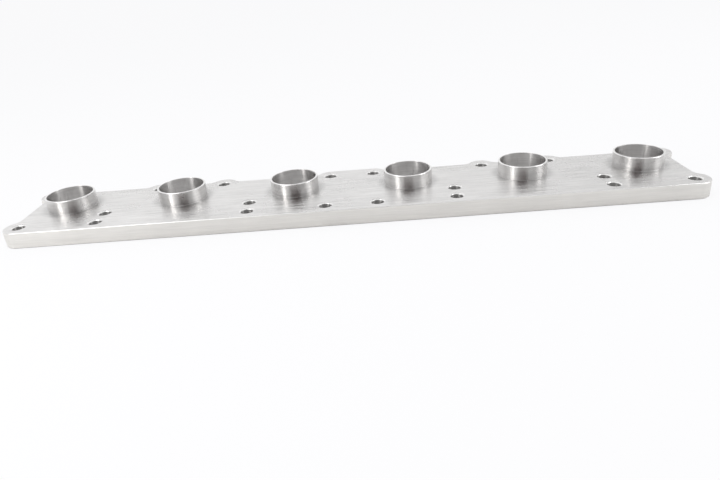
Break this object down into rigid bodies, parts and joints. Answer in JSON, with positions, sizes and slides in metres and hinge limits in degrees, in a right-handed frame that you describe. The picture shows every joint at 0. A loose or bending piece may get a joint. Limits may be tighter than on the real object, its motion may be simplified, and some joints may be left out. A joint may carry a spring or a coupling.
{
  "type": "turbo flange",
  "caption": "Long flat exhaust manifold flange for a turbo engine, with a row of raised round weld collars, plain stud holes and a scalloped back edge.",
  "frame": {"origin": "centre of the gasket face, on the line through the port centres", "axes": "+X along the row of ports, +Y towards the scalloped back edge, +Z from the gasket face towards the collars"},
  "size_m": [0.626, 0.102, 0.0275],
  "materials": {
    "steel": "milled lengthwise and left bright, with fine lengthwise lines"
  },
  "bodies": {
    "root": {"flange": "steel"}
  },
  "joints": []
}
